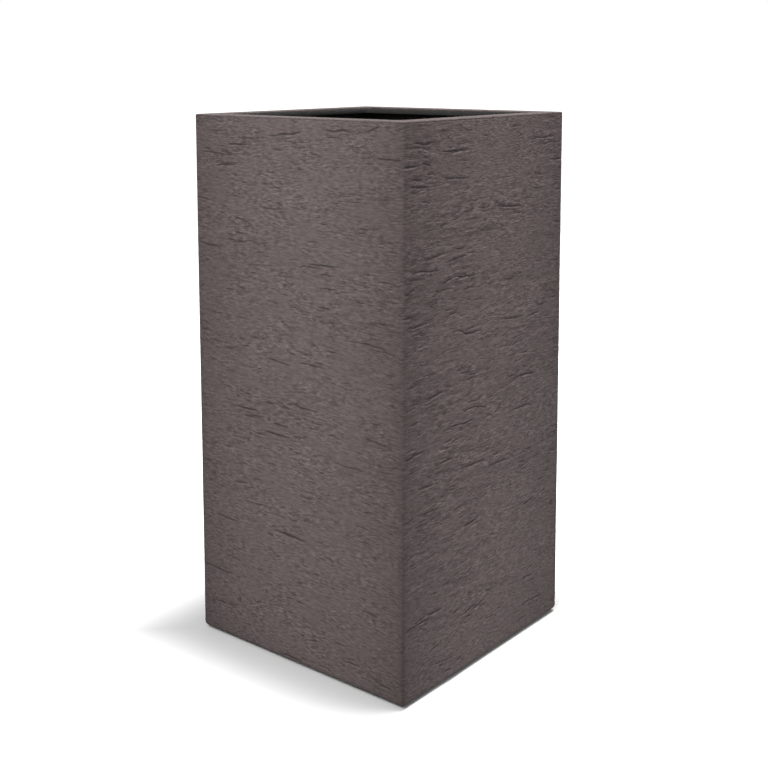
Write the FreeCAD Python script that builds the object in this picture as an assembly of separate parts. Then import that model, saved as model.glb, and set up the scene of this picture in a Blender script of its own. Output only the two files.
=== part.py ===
"""Tall square planter in glass-fibre laminate, with an inward rim and a raised, drained floor.

Millimetres, +Z up. The origin is on the ground under the middle of the planter.
The front faces -Y and the left side faces -X.
"""
import FreeCAD, Part
import math
import os

from FreeCAD import Vector

# Overall form
overall_height = 800.0        # ground to the top of the rim
foot_width = 400.0            # across opposite outside faces at the foot, the widest level
draft_inset = 8.0             # how far each face leans in by the rim, a little over half a degree of mould draft
edge_radius = 4.0             # upright outside edges
foot_radius = 8.0             # outside edge where the sides turn under

# Laminate of the shell
wall = 4.0                    # sides
foot_thickness = 4.0          # flange turned in under the foot
rim_thickness = 4.5           # flat inward rim
inner_corner_radius = 14.0    # mat bridges the upright inside corners

# Rim and its return lip
rim_width = 28.0              # outside face to the mouth
rim_outer_radius = 2.5
rim_inner_radius = 2.0
mouth_corner_radius = 9.0
lip_depth = 10.0              # rim top to the lip's trimmed lower edge
lip_thickness = 4.0

# Timber battens on the foot flange
batten_width = 24.0
batten_height = 18.0
batten_wall_gap = 6.0         # clears the rounded inside corner of the foot
batten_joint_gap = 1.0        # bedding paste at the butt joints
batten_chamfer = 1.5
foot_opening_radius = 26.0    # corners of the open square inside the foot flange

# Floor panel with its drain sump
panel_thickness = 5.0
panel_edge_gap = 1.5          # to the side walls, so the panel can be lowered in
sump_radius = 62.0            # at floor level
sump_floor_radius = 46.0
sump_depth = 9.0
sump_bend_radius = 6.0
drain_radius = 12.5
drain_boss_width = 9.0        # thickened ring under the drain hole
drain_boss_height = 2.0

# Resin and glass-tape fillet that bonds the floor to the sides
bond_height = 16.0
bond_width = 14.0
bond_feather = 1.2            # thickness left at the fillet's two trimmed edges

# Rubber pads and the screws that hold them
pad_width = 24.0
pad_corner_radius = 3.0
pad_thickness = 3.0
screw_length = 16.0
screw_shank_radius = 1.75
screw_head_radius = 3.5
screw_head_height = 2.2
screw_point_length = 3.0
screw_drive_width = 1.0       # arms of the cross recess
screw_drive_length = 4.0
screw_drive_depth = 1.2
screw_clearance = 0.25        # in the pad and in the laminate

# Rubber drain plug
plug_clearance = 0.3          # round the stem, in the drain hole
plug_taper = 1.4              # loss of radius down the stem
plug_stem_reach = 2.5         # stem below the drain boss
plug_flange_radius = 19.0
plug_flange_thickness = 3.5
plug_grip_radius = 7.5
plug_waist_radius = 5.0
plug_grip_height = 15.0       # above the flange
plug_flare = 2.4              # height of the cone under the grip

# Levels and half widths that follow
shell_bottom = pad_thickness
batten_bottom = shell_bottom + foot_thickness
panel_bottom = batten_bottom + batten_height
panel_top = panel_bottom + panel_thickness
sump_floor = panel_top - sump_depth
drain_underside = sump_floor - panel_thickness - drain_boss_height
rim_underside = overall_height - rim_thickness
screw_bottom = pad_thickness - screw_head_height
screw_tip = screw_bottom + screw_length
tolerance = 1e-3


def outer_half(z):
    """Half the outside width of the drafted shell at height z."""
    rise = (z - shell_bottom) / (overall_height - shell_bottom)
    return foot_width / 2 - draft_inset * rise


def inner_half(z):
    """Half the width between the inside faces of the sides at height z."""
    return outer_half(z) - wall


mouth_half = outer_half(overall_height) - rim_width
batten_outer = inner_half(batten_bottom) - batten_wall_gap
batten_inner = batten_outer - batten_width
foot_opening_half = batten_inner
pad_offset = (foot_width / 2 - foot_radius + foot_opening_half) / 2


# ---- shared shapes ----

def upright_edges(shape):
    return [e for e in shape.Edges if abs(e.Vertexes[0].Z - e.Vertexes[-1].Z) > tolerance]


def level_edges(shape, z, reach=math.inf):
    """Edges that lie flat at height z, no further than reach from the axis planes."""
    found = []
    for edge in shape.Edges:
        box = edge.BoundBox
        flat = abs(box.ZMin - z) < tolerance and abs(box.ZMax - z) < tolerance
        if flat and max(abs(box.XMin), box.XMax, abs(box.YMin), box.YMax) < reach + tolerance:
            found.append(edge)
    return found


def square_block(half_low, half_high, z_low, z_high, radius):
    """Upright square block with rounded upright edges, drafted when the two half widths differ."""
    block = Part.makeWedge(-half_low, z_low, -half_low, -half_high, -half_high,
                           half_low, z_high, half_low, half_high, half_high)
    block.rotate(Vector(0, 0, 0), Vector(1, 0, 0), 90)
    return block.makeFillet(radius, upright_edges(block))


def revolved(profile):
    """Solid turned about the Z axis from a closed list of (radius, z) points."""
    points = [Vector(r, 0, z) for r, z in profile]
    face = Part.Face(Part.makePolygon(points + points[:1]))
    return face.revolve(Vector(0, 0, 0), Vector(0, 0, 1), 360)


def circle_edges(shape, radius, z):
    """Whole round edges of one radius and height, about the Z axis."""
    found = []
    for edge in level_edges(shape, z):
        if abs(edge.BoundBox.XMax - radius) < tolerance:
            found.append(edge)
    return found


def corner_spots():
    """Pad centres by corner name."""
    sides = {"front": -pad_offset, "back": pad_offset}
    hands = {"left": -pad_offset, "right": pad_offset}
    return {f"{side}_{hand}": Vector(x, y, 0) for side, y in sides.items() for hand, x in hands.items()}


def at_corners(shape):
    """One copy of a shape that stands on the Z axis under each corner of the shell."""
    copies = []
    for spot in corner_spots().values():
        copy = shape.copy()
        copy.translate(spot)
        copies.append(copy)
    return copies


# ---- the moulded shell ----

def shell_outside():
    """Drafted outside with its rounded foot and rim edges."""
    block = square_block(outer_half(shell_bottom), outer_half(overall_height), shell_bottom, overall_height,
                         edge_radius)
    block = block.makeFillet(foot_radius, level_edges(block, shell_bottom))
    return block.makeFillet(rim_outer_radius, level_edges(block, overall_height))


def shell_cavity():
    """Closed inside space between the foot flange and the underside of the rim."""
    block = square_block(inner_half(batten_bottom), inner_half(rim_underside), batten_bottom, rim_underside,
                         inner_corner_radius)
    return block.makeFillet(foot_radius - wall, level_edges(block, batten_bottom))


def lip_block():
    """Down-turned return behind the rim, still solid across the mouth."""
    half = mouth_half + lip_thickness
    return square_block(half, half, overall_height - lip_depth, rim_underside + rim_thickness / 2,
                        mouth_corner_radius + lip_thickness)


def planter_shell():
    shell = shell_outside().cut(shell_cavity())
    shell = shell.fuse(lip_block())
    shell = shell.cut(square_block(mouth_half, mouth_half, overall_height - 2 * lip_depth, overall_height + wall,
                                   mouth_corner_radius))
    shell = shell.cut(square_block(foot_opening_half, foot_opening_half, 0, batten_bottom + wall,
                                   foot_opening_radius))
    hole = Part.makeCylinder(screw_shank_radius + screw_clearance, 2 * foot_thickness, Vector(0, 0, shell_bottom - 1))
    shell = shell.cut(at_corners(hole)).removeSplitter()
    return shell.makeFillet(rim_inner_radius, level_edges(shell, overall_height, mouth_half))


# ---- the raised floor ----

def timber(length, x_low, y_low, along_x):
    """Batten with its long edges eased."""
    size_x, size_y = (length, batten_width) if along_x else (batten_width, length)
    block = Part.makeBox(size_x, size_y, batten_height, Vector(x_low, y_low, batten_bottom))
    longest = [e for e in block.Edges if abs(e.Length - length) < tolerance]
    return block.makeChamfer(batten_chamfer, longest)


def battens():
    """Front and back run the full width; left and right butt between them."""
    side_half = batten_inner - batten_joint_gap
    found = {
        "batten_front": timber(2 * batten_outer, -batten_outer, -batten_outer, True),
        "batten_back": timber(2 * batten_outer, -batten_outer, batten_inner, True),
        "batten_left": timber(2 * side_half, -batten_outer, -side_half, False),
        "batten_right": timber(2 * side_half, batten_inner, -side_half, False),
    }
    pilots = at_corners(Part.makeCylinder(screw_shank_radius, screw_tip))
    for name in ("batten_front", "batten_back"):
        found[name] = found[name].cut(pilots)
    return found


def base_panel():
    """Flat laminate floor with a dished sump and a thickened ring round the drain hole."""
    half = inner_half(panel_top) - panel_edge_gap
    plate = square_block(half, half, panel_bottom, panel_top, inner_corner_radius)
    slope = math.atan2(sump_depth, sump_radius - sump_floor_radius)
    under = panel_thickness * math.tan(slope / 2)
    dish = revolved([
        (0, panel_top), (sump_radius, panel_top), (sump_floor_radius, sump_floor), (0, sump_floor),
    ])
    dished_underside = revolved([
        (0, panel_bottom), (sump_radius + under, panel_bottom),
        (sump_floor_radius + under, sump_floor - panel_thickness), (0, sump_floor - panel_thickness),
    ])
    boss = Part.makeCylinder(drain_radius + drain_boss_width, drain_boss_height + panel_thickness,
                             Vector(0, 0, drain_underside))
    hole = Part.makeCylinder(drain_radius, 2 * sump_depth + panel_thickness, Vector(0, 0, drain_underside - 1))
    panel = plate.fuse([dished_underside, boss]).cut(dish).cut(hole).removeSplitter()
    return panel.makeFillet(sump_bend_radius, circle_edges(panel, sump_radius, panel_top))


def bond_fillet():
    """Ring of resin and tape in the corner between the floor panel and the sides."""
    low, high = panel_top, panel_top + bond_height
    ring = square_block(inner_half(low), inner_half(high), low, high, inner_corner_radius)
    shoulder = low + bond_feather
    open_low = inner_half(low) - bond_width
    open_high = inner_half(high) - bond_feather
    step = square_block(open_low, open_low, low - 1, shoulder, inner_corner_radius)
    sloped = square_block(open_low, open_high, shoulder, high, inner_corner_radius)
    above = square_block(open_high, open_high, high, high + 1, inner_corner_radius)
    return ring.cut([step, sloped, above])


# ---- what it stands on ----

def foot_pad():
    """Square rubber pad with a countersunk hole, open to the ground."""
    shank = screw_shank_radius + screw_clearance
    splay = (screw_head_radius - screw_shank_radius) / screw_head_height
    mouth = shank + splay * pad_thickness
    pad = square_block(pad_width / 2, pad_width / 2, 0, pad_thickness, pad_corner_radius)
    return pad.cut(revolved([(0, 0), (mouth, 0), (shank, pad_thickness), (0, pad_thickness)]))


def foot_screw():
    """Countersunk wood screw with a cross recess, point up."""
    screw = revolved([
        (0, screw_bottom), (screw_head_radius, screw_bottom), (screw_shank_radius, pad_thickness),
        (screw_shank_radius, screw_tip - screw_point_length), (0, screw_tip),
    ])
    corner = Vector(-screw_drive_length / 2, -screw_drive_width / 2, 0)
    arm = Part.makeBox(screw_drive_length, screw_drive_width, screw_bottom + screw_drive_depth, corner)
    other = arm.copy()
    other.rotate(Vector(0, 0, 0), Vector(0, 0, 1), 90)
    return screw.cut([arm, other])


def drain_plug():
    """Stopper with a sealing flange on the sump floor and a waisted grip."""
    stem_top = drain_radius - plug_clearance
    stem_bottom = drain_underside - plug_stem_reach
    seat_top = sump_floor + plug_flange_thickness
    waist_top = seat_top + plug_grip_height / 2
    grip_top = seat_top + plug_grip_height
    return revolved([
        (0, stem_bottom), (stem_top - plug_taper, stem_bottom), (stem_top, sump_floor),
        (plug_flange_radius, sump_floor), (plug_flange_radius, seat_top), (plug_waist_radius, seat_top),
        (plug_waist_radius, waist_top), (plug_grip_radius, waist_top + plug_flare),
        (plug_grip_radius, grip_top), (0, grip_top),
    ])


def planter():
    """Every sub-part by name."""
    parts = {"planter_shell": planter_shell(), "base_panel": base_panel(), "bond_fillet": bond_fillet()}
    parts.update(battens())
    for name, pad in zip(corner_spots(), at_corners(foot_pad())):
        parts["foot_pad_" + name] = pad
    parts["foot_screws"] = Part.makeCompound(at_corners(foot_screw()))
    parts["drain_plug"] = drain_plug()
    return parts


os.makedirs("parts", exist_ok=True)
for name, shape in planter().items():
    solids = shape.Solids
    node = solids[0] if len(solids) == 1 else Part.makeCompound(solids)
    node.exportStep(f"parts/{name}.step")
    print(name, len(solids), "solid", round(node.Volume / 1000, 1), "cm3", node.isValid())
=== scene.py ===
import math

import bmesh
import bpy
import numpy as np
from mathutils import Matrix, Vector, noise


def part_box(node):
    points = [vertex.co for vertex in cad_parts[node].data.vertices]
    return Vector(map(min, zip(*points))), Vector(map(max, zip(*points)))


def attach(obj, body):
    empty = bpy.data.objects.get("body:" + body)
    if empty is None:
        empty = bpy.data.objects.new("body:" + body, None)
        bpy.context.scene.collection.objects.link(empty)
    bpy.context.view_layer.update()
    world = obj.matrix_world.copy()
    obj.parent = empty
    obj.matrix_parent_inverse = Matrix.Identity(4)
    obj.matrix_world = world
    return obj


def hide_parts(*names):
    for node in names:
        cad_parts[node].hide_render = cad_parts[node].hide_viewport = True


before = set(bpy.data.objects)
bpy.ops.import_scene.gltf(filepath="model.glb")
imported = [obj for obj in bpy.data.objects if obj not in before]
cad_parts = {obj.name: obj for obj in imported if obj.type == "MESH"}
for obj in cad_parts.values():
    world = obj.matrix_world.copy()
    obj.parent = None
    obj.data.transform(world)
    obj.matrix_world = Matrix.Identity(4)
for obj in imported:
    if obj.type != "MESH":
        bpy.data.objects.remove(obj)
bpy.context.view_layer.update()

# Tall square planter in glass-fibre laminate, dressed round its solids. Metres, +Z up, front faces -Y.
# The moulding is one skin: slate-like outside, flat inward rim, return lip, black inside, turned-in foot.

# ---- sizes of the moulding ----

FOOT_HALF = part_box("planter_shell")[1].x
FOOT_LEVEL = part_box("planter_shell")[0].z
RIM_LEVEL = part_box("planter_shell")[1].z
DRAFT_INSET = 0.008           # each face leans in this much by the rim
EDGE_RADIUS = 0.004           # upright outside edges
FOOT_RADIUS = 0.008
WALL = 0.004
RIM_THICKNESS = 0.0045
RIM_WIDTH = 0.028
RIM_OUTER_RADIUS = 0.0025
RIM_INNER_RADIUS = 0.002
MOUTH_CORNER_RADIUS = 0.009
INNER_CORNER_RADIUS = 0.014
FOOT_OPENING_RADIUS = 0.026
FOOT_CORNER_SHARE = 0.4       # how much the upright edges' radius shrinks as the foot turns under
LIP_DEPTH = 0.010
LIP_THICKNESS = 0.004
TRIMMED_EDGE = 0.0008         # softness of the cut edges
ROOT_RADIUS = 0.002           # resin left in the corners behind the rim
MIDDLE_SHARE = 0.3            # where a corner rounded in two facets has its middle point, by its radius
FOOT_OPENING_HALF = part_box("batten_left")[1].x * -1
MOUTH_HALF = FOOT_HALF - DRAFT_INSET - RIM_WIDTH

CORNER_STEPS = 4              # facets round each rounded corner
ARC_STEPS = 3
ROUND_STEPS = 64              # facets round the drain plug
HOOP_POINTS = 4 * (CORNER_STEPS + 1)  # points of a square hoop
SAME_LEVEL = 0.00001          # points this near in height lie on one level
LONG_LINE = 0.2               # level lines longer than this run along a whole side
TALL_LINE = 0.5               # upright lines taller than this run over a whole side
FIRST_CUTS = 11               # across the outside's tall lines
FIRST_CUT_LINES = (0.05, 0.1)  # how tall the lines between the first cuts may be
SECOND_CUTS = 14              # across each of those
OUTSIDE_LEVEL_CUTS = 31
INSIDE_TALL_CUTS = 19
INSIDE_LEVEL_CUTS = 15
SHELL_TRIANGLES = 194_000

# ---- the slate-like relief of the outside ----

RELIEF_SEED = 41
MAP_STEP = 0.0008             # spacing of the relief map
GIRTH = 8 * FOOT_HALF
MAP_COLUMNS = round(GIRTH / MAP_STEP)
MAP_ROWS = round(RIM_LEVEL / MAP_STEP)
RELIEF_REACH = 0.003          # how far in from the outside the relief's points lie
MIDDLE_SINK = 0.0003          # the relief's middle lies this far inside the drafted faces
RELIEF_FADE = 0.008           # width of the bands along the rim and the upright edges where the relief fades
EDGE_CORE = 0.001             # nearest the upright edges, where it is at its faintest
FOOT_CORE = 0.0005            # lowest part of the foot's rounding, where there is none
RIM_LOSS = 0.9                # share of the relief that is lost at the rim
EDGE_LOSS = 0.7

# Each kind of fissure: how many are tried, then their length, width and depth
FISSURES = ((330, 0.052, 0.0026, 0.0012), (2300, 0.025, 0.0020, 0.0007), (7000, 0.012, 0.0018, 0.0004))
# How far each one's own length, width and depth may lie from those
LENGTH_SPREAD, WIDTH_SPREAD, DEPTH_SPREAD = (0.5, 1.5), (0.7, 1.3), (0.5, 1.2)
FISSURE_TILT = 0.035
FISSURE_BENDS = 3             # places where one steps up or down
BEND_REACH = 0.8              # how far from its middle they may lie, by half its length
BEND_HEIGHT = 0.3             # height of such a step, by its width
FISSURE_TAPER = 0.6           # how blunt its two ends are
LEAST_WIDTH = 0.00001
FULL_HOLLOW = 0.0007          # a fissure this deep takes the whole of the painted shade
# Its section, in half widths: the upper wall, the lower slope, and the place and spread of the lip below it
UPPER_WALL, LOWER_SLOPE = 0.75, 1.1
LIP_PLACE, LIP_SPREAD = 2.6, 0.9
LIP_HEIGHT = 0.42             # by its depth

# Random relief: about how long and how high its marks are, then how far they stand out
CROWDING = (0.030, 0.014)     # where fissures and grain lie thick
LEAST_CROWDED = 0.25
CHATTER, CHATTER_RISE = (0.0035, 0.0013), 0.00016
RIPPLE, RIPPLE_RISE = (0.011, 0.0023), 0.00020
SWELL, SWELL_RISE = (0.060, 0.025), 0.00015
WANDER, WANDER_RISE = (0.034, 0.012), 0.0009


def outer_half(level):
    """Half the outside width of the drafted moulding."""
    return FOOT_HALF - DRAFT_INSET * (level - FOOT_LEVEL) / (RIM_LEVEL - FOOT_LEVEL)


def inner_half(level):
    """Half the inside width, one wall in from the outside."""
    return outer_half(level) - WALL


# ---- working by hand: small helpers for selecting and shaping ----

def put_down_everything():
    """Object mode with nothing selected."""
    if bpy.context.object and bpy.context.object.mode != "OBJECT":
        bpy.ops.object.mode_set(mode="OBJECT")
    bpy.ops.object.select_all(action="DESELECT")


def take_up(piece):
    put_down_everything()
    piece.select_set(True)
    bpy.context.view_layer.objects.active = piece


def new_piece(name):
    """An empty piece at the origin, open for editing."""
    put_down_everything()
    bpy.ops.mesh.primitive_plane_add(size=1, location=(0, 0, 0))
    piece = bpy.context.object
    piece.name = name
    piece.data.name = name
    bpy.ops.object.mode_set(mode="EDIT")
    bpy.ops.mesh.delete(type="VERT")
    return piece


def edited():
    return bmesh.from_edit_mesh(bpy.context.object.data)


def pick_points(wanted):
    """Selects the points whose place passes the test, with the edges and faces between them."""
    mesh = edited()
    bpy.ops.mesh.select_mode(type="VERT")
    for point in mesh.verts:
        point.select = wanted(point.co)
    mesh.select_flush_mode()
    bmesh.update_edit_mesh(bpy.context.object.data)


def pick_edges(wanted):
    mesh = edited()
    bpy.ops.mesh.select_mode(type="EDGE")
    for edge in mesh.edges:
        edge.select_set(False)
    for edge in mesh.edges:
        if wanted(edge.verts[0].co, edge.verts[1].co):
            edge.select_set(True)
    mesh.select_flush_mode()
    bmesh.update_edit_mesh(bpy.context.object.data)


def square_hoop(half, level, corner_radius):
    """Adds a level square line with rounded corners and leaves it selected."""
    bpy.ops.mesh.select_all(action="DESELECT")
    bpy.ops.mesh.primitive_plane_add(size=2 * half, location=(0, 0, level))
    bpy.ops.mesh.bevel(offset=corner_radius, segments=CORNER_STEPS, affect="VERTICES")
    bpy.ops.mesh.delete(type="ONLY_FACE")


def round_hoop(radius, level):
    """Adds a level circle and leaves it selected."""
    bpy.ops.mesh.select_all(action="DESELECT")
    bpy.ops.mesh.primitive_circle_add(vertices=ROUND_STEPS, radius=radius, location=(0, 0, level))


def bridge_hoops(first, second, count=HOOP_POINTS):
    """Skins two hoops, counted in the order they were added, and leaves the new faces selected."""
    mesh = edited()
    mesh.verts.ensure_lookup_table()
    bpy.ops.mesh.select_mode(type="VERT")
    for index, point in enumerate(mesh.verts):
        point.select = index // count in (first, second)
    mesh.select_flush_mode()
    bmesh.update_edit_mesh(bpy.context.object.data)
    bpy.ops.mesh.bridge_edge_loops()


def skin_hoops(count, size, closed):
    """Skins a row of hoops of the same size in turn, and back to the first if it is closed."""
    for index in range(count if closed else count - 1):
        bridge_hoops(index, (index + 1) % count, size)


def is_level_side(start, end):
    """Whether a line of a square hoop runs along a whole side."""
    return abs(start.z - end.z) < SAME_LEVEL and (start - end).length > LONG_LINE


def apply_modifier(piece, kind, **settings):
    take_up(piece)
    modifier = piece.modifiers.new(kind.lower(), kind)
    for name, value in settings.items():
        setattr(modifier, name, value)
    bpy.ops.object.modifier_apply(modifier=modifier.name)


def triangle_count(piece):
    return sum(len(face.vertices) - 2 for face in piece.data.polygons)


# ---- the moulding ----

def arc_profile(centre_half, centre_level, radius, start, end, corner_radius):
    """Hoops round an arc of the section. Angles are in degrees, from outward towards up."""
    hoops = []
    for step in range(ARC_STEPS + 1):
        turn = math.radians(start + (end - start) * step / ARC_STEPS)
        half = centre_half + radius * math.cos(turn)
        hoops.append((half, centre_level + radius * math.sin(turn), corner_radius(half)))
    return hoops


def outside_section():
    """Hoops from under the foot, up the outside and over the rim to the mouth."""
    foot_corner = lambda half: EDGE_RADIUS - FOOT_CORNER_SHARE * (FOOT_HALF - half)
    rim_corner = lambda half: EDGE_RADIUS - (outer_half(RIM_LEVEL) - half)
    mouth_corner = lambda half: MOUTH_CORNER_RADIUS + half - MOUTH_HALF
    foot = arc_profile(FOOT_HALF - FOOT_RADIUS, FOOT_LEVEL + FOOT_RADIUS, FOOT_RADIUS, -90, 0, foot_corner)
    rim = arc_profile(outer_half(RIM_LEVEL) - RIM_OUTER_RADIUS, RIM_LEVEL - RIM_OUTER_RADIUS,
                      RIM_OUTER_RADIUS, 0, 90, rim_corner)
    mouth = arc_profile(MOUTH_HALF + RIM_INNER_RADIUS, RIM_LEVEL - RIM_INNER_RADIUS, RIM_INNER_RADIUS,
                        90, 180, mouth_corner)
    return foot + rim + mouth


def inside_section():
    """Hoops from the mouth down the lip, behind the rim, down the inside and in over the foot flange."""
    lip_level = RIM_LEVEL - LIP_DEPTH
    under_rim = RIM_LEVEL - RIM_THICKNESS
    flange_top = FOOT_LEVEL + WALL
    behind_lip = MOUTH_HALF + LIP_THICKNESS
    lip_corner = MOUTH_CORNER_RADIUS + LIP_THICKNESS
    wide = inner_half(under_rim)
    low = inner_half(flange_top + FOOT_RADIUS - WALL)
    opening = FOOT_OPENING_HALF
    return [
        (MOUTH_HALF, lip_level + TRIMMED_EDGE, MOUTH_CORNER_RADIUS),
        (MOUTH_HALF + TRIMMED_EDGE, lip_level, MOUTH_CORNER_RADIUS + TRIMMED_EDGE),
        (behind_lip - TRIMMED_EDGE, lip_level, lip_corner - TRIMMED_EDGE),
        (behind_lip, lip_level + TRIMMED_EDGE, lip_corner),
        (behind_lip, under_rim - ROOT_RADIUS, lip_corner),
        (behind_lip + MIDDLE_SHARE * ROOT_RADIUS, under_rim - MIDDLE_SHARE * ROOT_RADIUS, lip_corner),
        (behind_lip + ROOT_RADIUS, under_rim, lip_corner),
        (wide - ROOT_RADIUS, under_rim, INNER_CORNER_RADIUS - ROOT_RADIUS),
        (wide - MIDDLE_SHARE * ROOT_RADIUS, under_rim - MIDDLE_SHARE * ROOT_RADIUS, INNER_CORNER_RADIUS),
        (wide, under_rim - ROOT_RADIUS, INNER_CORNER_RADIUS),
        (low, flange_top + FOOT_RADIUS - WALL, INNER_CORNER_RADIUS),
        (low - MIDDLE_SHARE * WALL, flange_top + MIDDLE_SHARE * WALL,
         INNER_CORNER_RADIUS - MIDDLE_SHARE * WALL),
        (low - WALL, flange_top, INNER_CORNER_RADIUS - WALL),
        (opening + TRIMMED_EDGE, flange_top, FOOT_OPENING_RADIUS + TRIMMED_EDGE),
        (opening, flange_top - TRIMMED_EDGE, FOOT_OPENING_RADIUS),
        (opening, FOOT_LEVEL + TRIMMED_EDGE, FOOT_OPENING_RADIUS),
        (opening + TRIMMED_EDGE, FOOT_LEVEL, FOOT_OPENING_RADIUS + TRIMMED_EDGE),
    ]


def grain(draws, run, rise):
    """Map of random relief with unit spread, whose marks are about run long and rise high, in metres."""
    field = np.fft.rfft2(draws.standard_normal((MAP_ROWS, MAP_COLUMNS)))
    up = np.fft.fftfreq(MAP_ROWS, MAP_STEP)[:, None]
    along = np.fft.rfftfreq(MAP_COLUMNS, MAP_STEP)[None, :]
    field *= np.exp(-2 * math.pi ** 2 * ((run * along) ** 2 + (rise * up) ** 2))
    field[0, 0] = 0
    relief = np.fft.irfft2(field, s=(MAP_ROWS, MAP_COLUMNS))
    return relief / relief.std()


def smooth_step(value, low, high):
    part = np.clip((value - low) / (high - low), 0, 1)
    return part * part * (3 - 2 * part)


def cut_fissures(draws, relief, crowd, count, length, width, depth):
    """Presses stepped fissures into the map, most of them where the crowd map is high."""
    for _ in range(count):
        row, column = draws.integers(0, MAP_ROWS), draws.integers(0, MAP_COLUMNS)
        if crowd[row, column] < draws.uniform():
            continue
        long = length * draws.uniform(*LENGTH_SPREAD)
        wide = width * draws.uniform(*WIDTH_SPREAD)
        deep = depth * draws.uniform(*DEPTH_SPREAD)
        reach_u, reach_v = int(0.5 * long / MAP_STEP), int(5 * wide / MAP_STEP) + 2
        u = np.arange(-reach_u, reach_u + 1)[None, :] * MAP_STEP
        v = np.arange(-reach_v, reach_v + 1)[:, None] * MAP_STEP
        part = 2 * u / long
        middle = draws.normal(0, FISSURE_TILT) * u
        bends = draws.uniform(-BEND_REACH, BEND_REACH, FISSURE_BENDS)
        drops = draws.normal(0, BEND_HEIGHT * width, FISSURE_BENDS)
        for place, drop in zip(bends, drops):
            middle = middle + drop * np.tanh((part - place) * long / (4 * width))
        taper = np.clip(1 - part ** 2, 0, 1) ** FISSURE_TAPER
        above = (v - middle) / (0.5 * wide * taper + LEAST_WIDTH)
        groove = np.where(above > 0, np.exp(-(above / UPPER_WALL) ** 4), np.exp(-(above / LOWER_SLOPE) ** 2))
        lip = np.exp(-((above + LIP_PLACE) / LIP_SPREAD) ** 2)
        change = (LIP_HEIGHT * lip - groove) * deep * taper
        rows = (row + np.arange(-reach_v, reach_v + 1)) % MAP_ROWS
        columns = (column + np.arange(-reach_u, reach_u + 1)) % MAP_COLUMNS
        spot = np.ix_(rows, columns)
        relief[spot] = np.where(change < 0, np.minimum(relief[spot], change), relief[spot] + change)


def slate_maps():
    """Relief of the outside, in metres, how far each spot lies in a fissure, and how the marks wander."""
    draws = np.random.default_rng(RELIEF_SEED)
    fissures = np.zeros((MAP_ROWS, MAP_COLUMNS))
    crowd = LEAST_CROWDED + (1 - LEAST_CROWDED) * smooth_step(grain(draws, *CROWDING), -0.8, 0.9)
    for count, length, width, depth in FISSURES:
        cut_fissures(draws, fissures, crowd, count, length, width, depth)
    chatter, ripple, swell = grain(draws, *CHATTER), grain(draws, *RIPPLE), grain(draws, *SWELL)
    relief = fissures + crowd * (CHATTER_RISE * chatter + RIPPLE_RISE * ripple) + SWELL_RISE * swell
    hollow = np.clip(-fissures / FULL_HOLLOW, 0, 1)
    wander = WANDER_RISE * grain(draws, *WANDER)
    return relief - MIDDLE_SINK, hollow, wander


def read_map(values, along, level):
    """Values of a map at places along the girth and up the side."""
    column, row = along / MAP_STEP, np.clip(level / MAP_STEP, 0, MAP_ROWS - 1.001)
    left, low = np.floor(column).astype(int), np.floor(row).astype(int)
    right_part, high_part = column - left, row - low
    left, right = left % MAP_COLUMNS, (left + 1) % MAP_COLUMNS
    bottom = values[low, left] * (1 - right_part) + values[low, right] * right_part
    top = values[low + 1, left] * (1 - right_part) + values[low + 1, right] * right_part
    return bottom * (1 - high_part) + top * high_part


def along_girth(x, y):
    """Distance round the planter from the front left edge, by the nearest side."""
    half = FOOT_HALF
    side = np.abs(x) > np.abs(y)
    front_back = np.where(y < 0, half + x, 5 * half - x)
    right_left = np.where(x > 0, 3 * half + y, 7 * half - y)
    return np.where(side, right_left, front_back)


def relief_share(places):
    """How much of the relief each point takes: all on the sides, less at the foot, rim and upright edges."""
    level, half = places[:, 2], outer_half(places[:, 2])
    x, y = np.abs(places[:, 0]), np.abs(places[:, 1])
    share = smooth_step(level, FOOT_LEVEL + FOOT_CORE, FOOT_LEVEL + FOOT_RADIUS)
    share *= 1 - RIM_LOSS * smooth_step(level, RIM_LEVEL - RELIEF_FADE, RIM_LEVEL - RIM_OUTER_RADIUS)
    share *= 1 - EDGE_LOSS * smooth_step(np.minimum(x, y), half - RELIEF_FADE, half - EDGE_CORE)
    return np.where(half - np.maximum(x, y) < RELIEF_REACH, share, 0)


def coordinates(piece):
    places = np.empty(3 * len(piece.data.vertices))
    piece.data.vertices.foreach_get("co", places)
    return places.reshape(-1, 3)


def marks_at(places, values, wander):
    """What a map gives each point of the outside, with the marks' levels wandering."""
    along = along_girth(places[:, 0], places[:, 1])
    level = places[:, 2] + read_map(wander, along, places[:, 2])
    return read_map(values, along, level) * relief_share(places)


def press_relief(piece, maps):
    """Moves the outside in and out by the relief map, square to the surface."""
    relief, _, wander = maps
    places = coordinates(piece)
    normals = np.empty(3 * len(piece.data.vertices))
    piece.data.vertices.foreach_get("normal", normals)
    height = marks_at(places, relief, wander)
    places += normals.reshape(-1, 3) * height[:, None]
    piece.data.vertices.foreach_set("co", places.ravel())
    piece.data.update()


def mark_hollows(piece, maps):
    """Keeps how deep each point lies in a fissure, for the painted shade in the fissures."""
    _, hollow, wander = maps
    depth = marks_at(coordinates(piece), hollow, wander)
    attribute = piece.data.attributes.new("hollow", "FLOAT", "POINT")
    attribute.data.foreach_set("value", depth.astype(np.float32))


def on_outside(point):
    """Whether a point of the moulding lies on its sides or in the foot's rounding."""
    inset = outer_half(point.z) - max(abs(point.x), abs(point.y))
    return inset < 0.7 * WALL or (point.z < FOOT_LEVEL + WALL / 2 and inset < 1.1 * FOOT_RADIUS)


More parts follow.
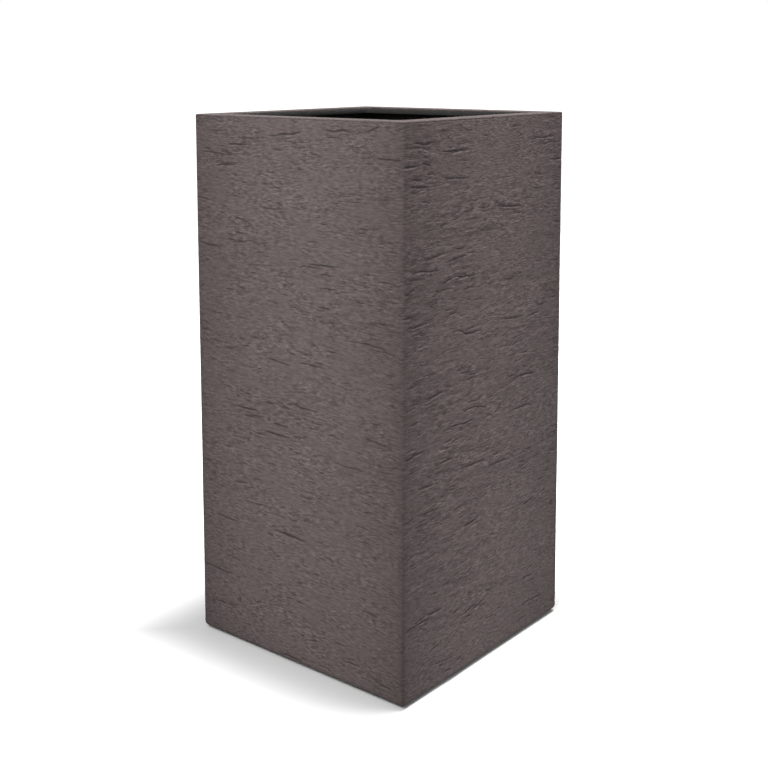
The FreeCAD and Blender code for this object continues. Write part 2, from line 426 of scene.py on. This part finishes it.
def shell_moulding():
    """The planter's skin, with its fissured outside and hand-laid inside."""
    piece = new_piece("shell_moulding")
    outside, inside = outside_section(), inside_section()
    for hoop in outside + inside:
        square_hoop(*hoop)
    for _ in range(2):
        bpy.ops.object.material_slot_add()
    total = len(outside) + len(inside)
    for index in range(total):
        bridge_hoops(index, (index + 1) % total)
        slate = index < len(outside) - 1 or index == total - 1
        piece.active_material_index = 0 if slate else 1
        bpy.ops.object.material_slot_assign()
    bpy.ops.mesh.select_all(action="SELECT")
    bpy.ops.mesh.normals_make_consistent(inside=False)
    tall = lambda a, b: abs(a.z - b.z) > TALL_LINE
    outer = lambda a, b: on_outside(a) and on_outside(b)
    pick_edges(lambda a, b: tall(a, b) and outer(a, b))
    bpy.ops.mesh.subdivide(number_cuts=FIRST_CUTS)
    pick_edges(lambda a, b: FIRST_CUT_LINES[0] < abs(a.z - b.z) < FIRST_CUT_LINES[1] and outer(a, b))
    bpy.ops.mesh.subdivide(number_cuts=SECOND_CUTS)
    pick_edges(lambda a, b: tall(a, b) and not outer(a, b))
    bpy.ops.mesh.subdivide(number_cuts=INSIDE_TALL_CUTS)
    pick_edges(lambda a, b: is_level_side(a, b) and outer(a, b))
    bpy.ops.mesh.subdivide(number_cuts=OUTSIDE_LEVEL_CUTS)
    pick_edges(lambda a, b: is_level_side(a, b) and not outer(a, b))
    bpy.ops.mesh.subdivide(number_cuts=INSIDE_LEVEL_CUTS)
    put_down_everything()
    apply_modifier(piece, "SUBSURF", subdivision_type="SIMPLE", levels=2, render_levels=2)
    maps = slate_maps()
    press_relief(piece, maps)
    apply_modifier(piece, "DECIMATE", ratio=SHELL_TRIANGLES / triangle_count(piece))
    mark_hollows(piece, maps)
    take_up(piece)
    bpy.ops.object.shade_smooth()
    return piece


# ---- finishes ----

class Finish:
    """A material being mixed: its nodes are added by short calls."""

    def __init__(self, name):
        self.material = bpy.data.materials.new(name)
        self.material.use_nodes = True
        self.tree = self.material.node_tree
        self.surface = self.tree.nodes["Principled BSDF"]
        self.place = self.tree.nodes.new("ShaderNodeTexCoord").outputs["Object"]

    def node(self, kind, **settings):
        made = self.tree.nodes.new(kind)
        for name, value in settings.items():
            setattr(made, name, value)
        return made

    def link(self, source, target):
        self.tree.links.new(source, target)

    def parts(self):
        """Object coordinates, each by itself."""
        made = self.node("ShaderNodeSeparateXYZ")
        self.link(self.place, made.inputs[0])
        return made.outputs

    def from_middle(self, choice):
        """MINIMUM or MAXIMUM of the distances from the planter's two upright middle planes."""
        x, y, _ = self.parts()
        return self.math(choice, self.math("ABSOLUTE", x), self.math("ABSOLUTE", y))

    def stretched(self, scale, turn=(0, 0, 0)):
        """Object coordinates times a scale for each axis: about that many marks to the metre."""
        mapping = self.node("ShaderNodeMapping")
        mapping.inputs["Scale"].default_value = scale
        mapping.inputs["Rotation"].default_value = turn
        self.link(self.place, mapping.inputs["Vector"])
        return mapping.outputs["Vector"]

    def noise(self, vector, scale=1.0, detail=2.0, roughness=0.5, distortion=0.0):
        made = self.node("ShaderNodeTexNoise")
        made.inputs["Scale"].default_value = scale
        made.inputs["Detail"].default_value = detail
        made.inputs["Roughness"].default_value = roughness
        made.inputs["Distortion"].default_value = distortion
        self.link(vector, made.inputs["Vector"])
        return made.outputs["Fac"]

    def ramp(self, factor, *stops):
        """Colour by a factor. Each stop is (position, colour)."""
        made = self.node("ShaderNodeValToRGB")
        elements = made.color_ramp.elements
        while len(elements) < len(stops):
            elements.new(1.0)
        for element, (position, colour) in zip(elements, stops):
            element.position = position
            element.color = (*colour, 1.0)
        self.link(factor, made.inputs["Fac"])
        return made.outputs["Color"]

    def blend(self, factor, first, second):
        """Mixes two colours. A factor or colour may be a socket or a plain value."""
        made = self.node("ShaderNodeMix", data_type="RGBA")
        for value, target in ((factor, made.inputs[0]), (first, made.inputs[6]), (second, made.inputs[7])):
            if isinstance(value, bpy.types.NodeSocket):
                self.link(value, target)
            else:
                target.default_value = value if isinstance(value, float) else (*value, 1.0)
        return made.outputs[2]

    def math(self, operation, first, second=None):
        made = self.node("ShaderNodeMath", operation=operation)
        for value, target in ((first, made.inputs[0]), (second, made.inputs[1])):
            if isinstance(value, bpy.types.NodeSocket):
                self.link(value, target)
            elif value is not None:
                target.default_value = value
        return made.outputs[0]

    def span(self, value, low, high, to_low, to_high):
        """Maps a value from one span to another, smoothly."""
        made = self.node("ShaderNodeMapRange", interpolation_type="SMOOTHSTEP")
        for target, number in zip(made.inputs[1:5], (low, high, to_low, to_high)):
            target.default_value = number
        self.link(value, made.inputs[0])
        return made.outputs[0]

    def bump(self, height, distance, strength):
        made = self.node("ShaderNodeBump")
        made.inputs["Strength"].default_value = strength
        made.inputs["Distance"].default_value = distance
        self.link(height, made.inputs["Height"])
        self.link(made.outputs["Normal"], self.surface.inputs["Normal"])


def linear(red, green, blue):
    """Display colour, 0 to 255, as the linear colour that a material holds."""
    def one(value):
        part = value / 255
        return part / 12.92 if part <= 0.04045 else ((part + 0.055) / 1.055) ** 2.4
    return one(red), one(green), one(blue)


# The marks' low parts take painted shade and their raised parts painted highlight; the middle tone is the
# finish's own
SLATE_MARK_SHADE, SLATE_BODY, SLATE_MARK_HIGHLIGHT = linear(77, 67, 66), linear(105, 94, 93), linear(131, 120, 119)
SLATE_CLOUD = linear(97, 87, 86)
# Colour of the painted shade in the short cut dashes
SLATE_CUT_SHADE = linear(56, 49, 48)
# Colour of the painted shade in the fissures
SLATE_FISSURE_SHADE = linear(44, 39, 38)
# Colour of the painted shade along the upright edges
SLATE_EDGE_SHADE = linear(48, 42, 41)
RIM_DARK, RIM_BODY, RIM_PALE = linear(58, 51, 50), linear(84, 75, 74), linear(100, 90, 89)
RIM_TOP = (0.003, 0.001)      # below the rim's flat top, where its own tone fades in
# How much painted shade darkens the paint towards the upright edges, by the distance from a face's middle
# over its half width
EDGE_SHADE = ((0.15, 0.0), (0.45, 0.07), (0.6, 0.13), (0.75, 0.22), (0.84, 0.29), (0.92, 0.36), (0.97, 0.5),
              (0.995, 0.8))


def slate_finish():
    """Matt warm grey-brown with short level marks, painted shade in their hollows, cuts and the fissures,
    painted highlight on their rises, and painted shade towards the upright edges.
    """
    finish = Finish("slate_finish")
    marks = finish.noise(finish.stretched((105, 105, 390)), detail=3, roughness=0.62, distortion=0.2)
    dashes = finish.noise(finish.stretched((70, 70, 430)), detail=2, roughness=0.5, distortion=0.3)
    patches = finish.span(finish.noise(finish.stretched((16, 16, 45)), detail=2), 0.38, 0.6, 0.5, 1.05)
    cloud = finish.noise(finish.stretched((5, 5, 12)), detail=3)
    grit = finish.noise(finish.place, scale=1500, detail=1)
    rise = finish.math("MULTIPLY", finish.math("SUBTRACT", marks, 0.5), patches)
    cut = finish.math("MULTIPLY", finish.span(dashes, 0.31, 0.43, 1.0, 0.0), patches)
    # Painted shade and highlight: the colour follows the marks' bump height, darker where low and paler where
    # raised
    body = finish.ramp(finish.math("ADD", rise, 0.5), (0.3, SLATE_MARK_SHADE), (0.5, SLATE_BODY), (0.7, SLATE_MARK_HIGHLIGHT))
    body = finish.blend(finish.span(cloud, 0.3, 0.7, 0.0, 0.3), body, SLATE_CLOUD)
    # Painted shade: the dashes that the bump cuts in are darkened as well
    body = finish.blend(finish.math("MULTIPLY", cut, 0.5), body, SLATE_CUT_SHADE)
    # Painted shade: the fissures are darkened by how deep they lie
    hollow = finish.node("ShaderNodeAttribute", attribute_name="hollow").outputs["Fac"]
    body = finish.blend(finish.span(hollow, 0.1, 0.9, 0.0, 0.72), body, SLATE_FISSURE_SHADE)
    # Painted shade: the finish darkens in bands along the upright edges and ends in a dark line on each edge
    shades = ((place, (share,) * 3) for place, share in EDGE_SHADE)
    edge = finish.ramp(finish.math("MULTIPLY", finish.from_middle("MINIMUM"), 1 / FOOT_HALF), *shades)
    body = finish.blend(edge, body, SLATE_EDGE_SHADE)
    top = finish.span(finish.parts()["Z"], RIM_LEVEL - RIM_TOP[0], RIM_LEVEL - RIM_TOP[1], 0.0, 1.0)
    pitting = finish.noise(finish.place, scale=240, detail=4, roughness=0.65)
    rim = finish.ramp(pitting, (0.3, RIM_DARK), (0.5, RIM_BODY), (0.7, RIM_PALE))
    body = finish.blend(finish.math("MULTIPLY", top, 0.85), body, rim)
    finish.link(body, finish.surface.inputs["Base Color"])
    finish.link(finish.span(marks, 0.2, 0.8, 0.84, 0.68), finish.surface.inputs["Roughness"])
    finish.surface.inputs["Specular IOR Level"].default_value = 0.2
    height = finish.math("SUBTRACT", finish.math("ADD", rise, finish.math("MULTIPLY", grit, 0.08)),
                         finish.math("MULTIPLY", cut, 0.25))
    height = finish.math("ADD", height, finish.math("MULTIPLY", finish.math("MULTIPLY", top, pitting), 0.9))
    finish.bump(height, 0.0016, 1.0)
    return finish.material


def black_laminate():
    """Matt black paint over rough glass mat: short strands lying every way."""
    finish = Finish("black_laminate")
    strands = finish.noise(finish.stretched((260, 260, 40), (0.5, 0.3, 0.9)), detail=2, distortion=1.2)
    crossing = finish.noise(finish.stretched((60, 330, 330), (1.1, 0.7, 0.2)), detail=2, distortion=1.0)
    mat = finish.math("MULTIPLY", strands, crossing)
    paint = finish.ramp(mat, (0.1, linear(40, 39, 38)), (0.45, linear(58, 57, 56)))
    dust = finish.noise(finish.stretched((14, 14, 5)), detail=4)
    paint = finish.blend(finish.span(dust, 0.45, 0.8, 0.0, 0.25), paint, linear(82, 79, 76))
    finish.link(paint, finish.surface.inputs["Base Color"])
    finish.link(finish.span(dust, 0.3, 0.7, 0.6, 0.82), finish.surface.inputs["Roughness"])
    finish.bump(mat, 0.0016, 0.8)
    return finish.material


def resin_finish():
    """Brushed resin over glass tape, glossier where it pooled."""
    finish = Finish("bonding_resin")
    weave = finish.noise(finish.stretched((300, 300, 60)), detail=2)
    pool = finish.noise(finish.place, scale=40, detail=3)
    finish.link(finish.ramp(pool, (0.3, linear(46, 44, 41)), (0.7, linear(70, 66, 60))),
                finish.surface.inputs["Base Color"])
    finish.link(finish.span(pool, 0.35, 0.7, 0.35, 0.7), finish.surface.inputs["Roughness"])
    finish.bump(finish.math("ADD", weave, pool), 0.0012, 0.7)
    return finish.material


def timber_finish(name, along_x):
    """Planed softwood with its grain along the batten."""
    finish = Finish(name)
    long, across = 9, 240
    lengthways = (long, across, across) if along_x else (across, long, across)
    rings = finish.noise(finish.stretched(lengthways), detail=3, roughness=0.55, distortion=0.8)
    fibre = finish.noise(finish.stretched([3.5 * value for value in lengthways]), detail=2)
    wood = finish.ramp(rings, (0.3, linear(150, 112, 72)), (0.52, linear(186, 148, 102)),
                       (0.7, linear(205, 170, 126)))
    wood = finish.blend(finish.span(fibre, 0.4, 0.75, 0.0, 0.4), wood, linear(140, 102, 64))
    finish.link(wood, finish.surface.inputs["Base Color"])
    finish.surface.inputs["Roughness"].default_value = 0.62
    finish.bump(finish.math("ADD", rings, fibre), 0.0004, 0.6)
    return finish.material


def rubber_finish(name, dark, light):
    """Moulded black rubber with a fine bloom."""
    finish = Finish(name)
    bloom = finish.noise(finish.place, scale=120, detail=4)
    grit = finish.noise(finish.place, scale=1800, detail=1)
    finish.link(finish.ramp(bloom, (0.3, dark), (0.75, light)), finish.surface.inputs["Base Color"])
    finish.link(finish.span(bloom, 0.3, 0.7, 0.5, 0.72), finish.surface.inputs["Roughness"])
    finish.bump(grit, 0.0003, 0.5)
    return finish.material


def zinc_finish():
    """Zinc plate with faint spangle and dull spots."""
    finish = Finish("zinc_plate")
    spangle = finish.node("ShaderNodeTexVoronoi")
    spangle.inputs["Scale"].default_value = 900
    finish.link(finish.place, spangle.inputs["Vector"])
    dull = finish.noise(finish.place, scale=500, detail=3)
    zinc = finish.ramp(spangle.outputs["Distance"], (0.0, (0.52, 0.53, 0.54)), (1.0, (0.68, 0.68, 0.66)))
    finish.link(zinc, finish.surface.inputs["Base Color"])
    finish.surface.inputs["Metallic"].default_value = 1.0
    finish.link(finish.span(dull, 0.35, 0.7, 0.28, 0.5), finish.surface.inputs["Roughness"])
    finish.bump(dull, 0.0001, 0.4)
    return finish.material


# ---- hidden pieces: fillet, plug and the solids shown as they are ----

FILLET_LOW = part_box("bond_fillet")[0].z
FILLET_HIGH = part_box("bond_fillet")[1].z
FILLET_WIDTH = 0.014
FILLET_FEATHER = 0.0012       # thickness at its two trimmed edges
STAGGER = 0.0002              # two hoops at one level may be bridged crosswise, so they lie this far apart
COVE_STEPS = 6
COVE_DEPTH = 0.0022           # how hollow the resin was smoothed
LUMP_HEIGHT = 0.0011
LUMP_SIZE = 0.011
FINE_LUMPS = 2.7              # how many smaller lumps there are to each of those
FILLET_CUTS = 63              # across its long level lines

PLUG_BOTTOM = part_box("drain_plug")[0].z
PLUG_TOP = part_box("drain_plug")[1].z
PLUG_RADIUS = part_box("drain_plug")[1].x
PLUG_GRIP_HEIGHT = 0.015
PLUG_FLANGE = 0.0035
PLUG_STEM_RADIUS = 0.0122     # where it fills the drain hole
PLUG_TAPER = 0.0014
PLUG_GRIP_RADIUS = 0.0075
PLUG_WAIST_RADIUS = 0.005
PLUG_FLARE = 0.0024
PLUG_BAND = 0.0005            # depth of the grooves between the sealing bands
PLUG_GROOVES = (0.3, 0.6)     # their places, by the stem's height
PLUG_FOOT_CENTRE = 0.002      # radius of the disc that closes its foot, then of the one in its dished top
PLUG_DISH_CENTRE = 0.001
CENTRE_REACH = 0.0025         # those two discs' points lie within this
SOFT_EDGE = 0.0008
FLUTE_STEPS = 8               # facets from one flute of the grip to the next
FLUTE_FACETS = (3, 4, 5)      # which of them are sunk
FLUTE_SCALE = 0.9
GRIP_SKIN = 0.9               # the grip's outside lies beyond this share of its radius
MOULD_BEVEL = 0.0003
SHARP_TURN = math.radians(40)


def fillet_section():
    """Hoops of the bonding ring: against the wall, hollow in front, flat on the floor panel."""
    wall_low, wall_high = inner_half(FILLET_LOW), inner_half(FILLET_HIGH)
    inner, upper = wall_low - FILLET_WIDTH, wall_high - FILLET_FEATHER
    shoulder = FILLET_LOW + FILLET_FEATHER
    hoops = [(wall_low, FILLET_LOW), (wall_high, FILLET_HIGH - STAGGER)]
    for step in range(COVE_STEPS + 1):
        part = step / COVE_STEPS
        hollow = 4 * part * (1 - part) * COVE_DEPTH * math.sqrt(0.5)
        half = upper + (inner - upper) * part + hollow
        hoops.append((half, FILLET_HIGH + (shoulder - FILLET_HIGH) * part - hollow))
    return hoops + [(inner, FILLET_LOW + STAGGER)]


def resin_fillet():
    """Resin and tape brushed into the corner between the floor panel and the sides."""
    piece = new_piece("resin_fillet")
    section = fillet_section()
    for half, level in section:
        square_hoop(half, level, INNER_CORNER_RADIUS)
    skin_hoops(len(section), HOOP_POINTS, closed=True)
    bpy.ops.mesh.select_all(action="SELECT")
    bpy.ops.mesh.normals_make_consistent(inside=False)
    pick_edges(is_level_side)
    bpy.ops.mesh.subdivide(number_cuts=FILLET_CUTS)
    put_down_everything()
    apply_modifier(piece, "SUBSURF", subdivision_type="SIMPLE", levels=1, render_levels=1)
    front = inner_half(FILLET_LOW)
    shifts = []
    for point in piece.data.vertices:
        half, height = max(abs(point.co.x), abs(point.co.y)), point.co.z - FILLET_LOW
        free = front - half > FILLET_FEATHER and height > FILLET_FEATHER / 2
        lump = noise.noise(point.co / LUMP_SIZE) + 0.5 * noise.noise(point.co * FINE_LUMPS / LUMP_SIZE)
        shifts.append(point.normal * (LUMP_HEIGHT * lump if free else 0))
    for point, shift in zip(piece.data.vertices, shifts):
        point.co += shift
    take_up(piece)
    bpy.ops.object.shade_smooth()
    return piece


def plug_section():
    """Hoops up the plug: banded stem, sealing flange, waist and a flared grip with a dished top."""
    seat = PLUG_TOP - PLUG_GRIP_HEIGHT - PLUG_FLANGE
    flange_top = seat + PLUG_FLANGE
    waist_top = flange_top + PLUG_GRIP_HEIGHT / 2
    foot_radius = PLUG_STEM_RADIUS - PLUG_TAPER
    soft_middle = MIDDLE_SHARE * SOFT_EDGE
    hoops = [(PLUG_FOOT_CENTRE, PLUG_BOTTOM + STAGGER), (foot_radius - SOFT_EDGE, PLUG_BOTTOM),
             (foot_radius, PLUG_BOTTOM + SOFT_EDGE)]
    for part in PLUG_GROOVES:
        level = PLUG_BOTTOM + part * (seat - PLUG_BOTTOM)
        radius = foot_radius + part * PLUG_TAPER
        hoops += [(radius, level - SOFT_EDGE), (radius - PLUG_BAND, level - SOFT_EDGE / 2),
                  (radius - PLUG_BAND, level + SOFT_EDGE / 2), (radius, level + SOFT_EDGE)]
    hoops += [(PLUG_STEM_RADIUS, seat - SOFT_EDGE / 2), (PLUG_STEM_RADIUS + SOFT_EDGE / 2, seat + STAGGER),
              (PLUG_RADIUS - SOFT_EDGE, seat), (PLUG_RADIUS - soft_middle, seat + soft_middle),
              (PLUG_RADIUS, seat + SOFT_EDGE), (PLUG_RADIUS, flange_top - SOFT_EDGE),
              (PLUG_RADIUS - soft_middle, flange_top - soft_middle), (PLUG_RADIUS - SOFT_EDGE, flange_top),
              (PLUG_WAIST_RADIUS + 2 * SOFT_EDGE, flange_top - STAGGER),
              (PLUG_WAIST_RADIUS + 0.6 * SOFT_EDGE, flange_top + 0.6 * SOFT_EDGE),
              (PLUG_WAIST_RADIUS, flange_top + 2 * SOFT_EDGE), (PLUG_WAIST_RADIUS, waist_top - SOFT_EDGE),
              (PLUG_WAIST_RADIUS + soft_middle, waist_top), (PLUG_GRIP_RADIUS, waist_top + PLUG_FLARE),
              (PLUG_GRIP_RADIUS, PLUG_TOP - 1.2 * SOFT_EDGE),
              (PLUG_GRIP_RADIUS - 0.35 * SOFT_EDGE, PLUG_TOP - 0.35 * SOFT_EDGE),
              (PLUG_GRIP_RADIUS - 1.2 * SOFT_EDGE, PLUG_TOP),
              (PLUG_GRIP_RADIUS / 2, PLUG_TOP - SOFT_EDGE / 2), (PLUG_DISH_CENTRE, PLUG_TOP - SOFT_EDGE)]
    return hoops


def rubber_plug():
    """Moulded stopper: bands seal the drain hole and a fluted grip pulls it out."""
    piece = new_piece("rubber_plug")
    section = plug_section()
    for radius, level in section:
        round_hoop(radius, level)
    skin_hoops(len(section), ROUND_STEPS, closed=False)
    for level in (PLUG_BOTTOM, PLUG_TOP):
        pick_points(lambda co: abs(co.z - level) < 2 * SOFT_EDGE and math.hypot(co.x, co.y) < CENTRE_REACH)
        bpy.ops.mesh.edge_face_add()
    step = 2 * math.pi / ROUND_STEPS
    sunk = lambda co: round(math.atan2(co.y, co.x) / step) % FLUTE_STEPS in FLUTE_FACETS
    low, high = PLUG_TOP - PLUG_GRIP_HEIGHT / 2 + PLUG_FLARE - SAME_LEVEL, PLUG_TOP - SOFT_EDGE / 4
    skin = GRIP_SKIN * PLUG_GRIP_RADIUS
    pick_points(lambda co: low < co.z < high and math.hypot(co.x, co.y) > skin and sunk(co))
    bpy.ops.transform.resize(value=(FLUTE_SCALE, FLUTE_SCALE, 1), center_override=(0, 0, PLUG_TOP))
    bpy.ops.mesh.select_all(action="SELECT")
    bpy.ops.mesh.normals_make_consistent(inside=False)
    put_down_everything()
    apply_modifier(piece, "BEVEL", width=MOULD_BEVEL, segments=2, limit_method="ANGLE",
                   angle_limit=SHARP_TURN)
    take_up(piece)
    bpy.ops.object.shade_smooth()
    return piece


def give(piece, material):
    """Puts one material on every face of a piece."""
    piece.data.materials.clear()
    piece.data.materials.append(material)


def dress_solids():
    """Finishes for the solids that are shown as they are."""
    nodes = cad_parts
    laminate = black_laminate()
    pad_rubber = rubber_finish("pad_rubber", linear(38, 38, 38), linear(56, 55, 54))
    give(nodes["base_panel"], laminate)
    give(nodes["foot_screws"], zinc_finish())
    lengthways, crossways = timber_finish("batten_timber_x", True), timber_finish("batten_timber_y", False)
    for name in ("batten_front", "batten_back"):
        give(nodes[name], lengthways)
    for name in ("batten_left", "batten_right"):
        give(nodes[name], crossways)
    for name, node in nodes.items():
        if name.startswith("foot_pad_"):
            give(node, pad_rubber)
    return laminate


# ---- studio ----

PHOTO_SIDE = 768              # pixels
FOCAL_PIXELS = 1198.9
AXIS_ROW = 317.0              # the level at which the optical axis meets the picture
CAMERA_PLACE = Vector((-1.3764, -1.1273, 0.8723))
CAMERA_YAW = 0.8862           # radians, as the next two
CAMERA_PITCH = 0.2094
CAMERA_ROLL = 0.0016
SENSOR = 36.0
VIEW_DEPTH = 100

AMBIENT = 0.31                # world light on the object
FLOOR_SIDE = 60
FLOOR_TONES = (0.79, 0.81)
FLOOR_FADE = 0.21             # how far round the planter the floor is seen shaded
FLOOR_BOUNCE = 0.35           # share of the light that the floor throws back on the object
PLANTER_MIDDLE = (0, 0, 0.42)  # where the side lamps aim


def set_camera():
    """Looks down a little at the front left edge, as the photograph does."""
    data = bpy.data.cameras.new("camera")
    data.sensor_width = SENSOR
    data.lens = FOCAL_PIXELS * SENSOR / PHOTO_SIDE
    data.shift_y = (AXIS_ROW - PHOTO_SIDE / 2) / PHOTO_SIDE
    data.clip_end = VIEW_DEPTH
    camera = bpy.data.objects.new("camera", data)
    bpy.context.scene.collection.objects.link(camera)
    level = math.cos(CAMERA_PITCH)
    ahead = Vector((math.sin(CAMERA_YAW) * level, math.cos(CAMERA_YAW) * level, -math.sin(CAMERA_PITCH)))
    right = Vector((math.cos(CAMERA_YAW), -math.sin(CAMERA_YAW), 0))
    down = ahead.cross(right)
    turned_right = math.cos(CAMERA_ROLL) * right + math.sin(CAMERA_ROLL) * down
    turned_down = math.cos(CAMERA_ROLL) * down - math.sin(CAMERA_ROLL) * right
    facing = Matrix((turned_right, -turned_down, -ahead)).transposed().to_4x4()
    camera.matrix_world = Matrix.Translation(CAMERA_PLACE) @ facing
    bpy.context.scene.camera = camera


def seen_directly(tree):
    """1 for what the camera sees straight on, in gloss or through glass, and 0 for light on the object."""
    path = tree.nodes.new("ShaderNodeLightPath")
    total = path.outputs["Is Camera Ray"]
    for name in ("Is Glossy Ray", "Is Transmission Ray"):
        add = tree.nodes.new("ShaderNodeMath")
        add.operation = "MAXIMUM"
        tree.links.new(total, add.inputs[0])
        tree.links.new(path.outputs[name], add.inputs[1])
        total = add.outputs[0]
    return total


def set_backdrop():
    """White backdrop and a pale floor that keeps the planter's shadow."""
    world = bpy.data.worlds.new("studio")
    bpy.context.scene.world = world
    world.use_nodes = True
    tree = world.node_tree
    background = tree.nodes["Background"]
    background.inputs["Color"].default_value = (1, 1, 1, 1)
    level = tree.nodes.new("ShaderNodeMapRange")
    level.inputs["To Min"].default_value = AMBIENT
    level.inputs["To Max"].default_value = 1.0
    tree.links.new(seen_directly(tree), level.inputs["Value"])
    tree.links.new(level.outputs[0], background.inputs["Strength"])

    put_down_everything()
    bpy.ops.mesh.primitive_plane_add(size=FLOOR_SIDE, location=(0, 0, 0))
    floor = bpy.context.object
    floor.name = "studio_floor"
    finish = Finish("studio_floor")
    mottle = finish.noise(finish.place, scale=3)
    pale = finish.ramp(mottle, (0.3, FLOOR_TONES[:1] * 3), (0.7, FLOOR_TONES[1:] * 3))
    seen = seen_directly(finish.tree)
    finish.link(finish.blend(seen, (FLOOR_BOUNCE,) * 3, pale), finish.surface.inputs["Base Color"])
    finish.surface.inputs["Roughness"].default_value = 1.0
    finish.surface.inputs["Specular IOR Level"].default_value = 0.0
    finish.surface.inputs["Emission Color"].default_value = (1, 1, 1, 1)
    raised = finish.span(finish.from_middle("MAXIMUM"), FOOT_HALF, FOOT_HALF + FLOOR_FADE, 0.0, 1.0)
    lift = finish.math("MULTIPLY", seen, raised)
    finish.link(lift, finish.surface.inputs["Emission Strength"])
    floor.data.materials.append(finish.material)


def soft_lamp(name, place, aim, width, height, level):
    """Rectangular soft lamp. The level is what it gives a white face turned to it at its aim."""
    data = bpy.data.lights.new(name, "AREA")
    data.shape = "RECTANGLE"
    data.size, data.size_y = width, height
    lamp = bpy.data.objects.new(name, data)
    bpy.context.scene.collection.objects.link(lamp)
    throw = Vector(aim) - Vector(place)
    data.energy = level * math.pi ** 2 * throw.length ** 2
    lamp.matrix_world = Matrix.Translation(place) @ throw.to_track_quat("-Z", "Y").to_matrix().to_4x4()


def set_lamps():
    """The main light comes from the left, a faint one from the right, and the rest from above."""
    soft_lamp("left_lamp", (-2.1, -0.6, 2.4), PLANTER_MIDDLE, 0.9, 1.4, 0.76)
    soft_lamp("right_lamp", (0.5, -2.1, 2.4), PLANTER_MIDDLE, 0.9, 1.4, 0.08)
    soft_lamp("top_lamp", (0.35, -0.48, 3.4), (0, -0.2, 0), 0.7, 0.7, 0.80)


# ---- put together ----

set_camera()
laminate = dress_solids()
moulding = shell_moulding()
moulding.material_slots[0].material = slate_finish()
moulding.material_slots[1].material = laminate
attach(moulding, "root")
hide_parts("planter_shell")
fillet = resin_fillet()
give(fillet, resin_finish())
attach(fillet, "root")
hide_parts("bond_fillet")
plug = rubber_plug()
give(plug, rubber_finish("plug_rubber", linear(44, 44, 44), linear(66, 65, 64)))
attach(plug, "plug")
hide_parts("drain_plug")
set_backdrop()
set_lamps()
bpy.context.scene.view_settings.view_transform = "Standard"
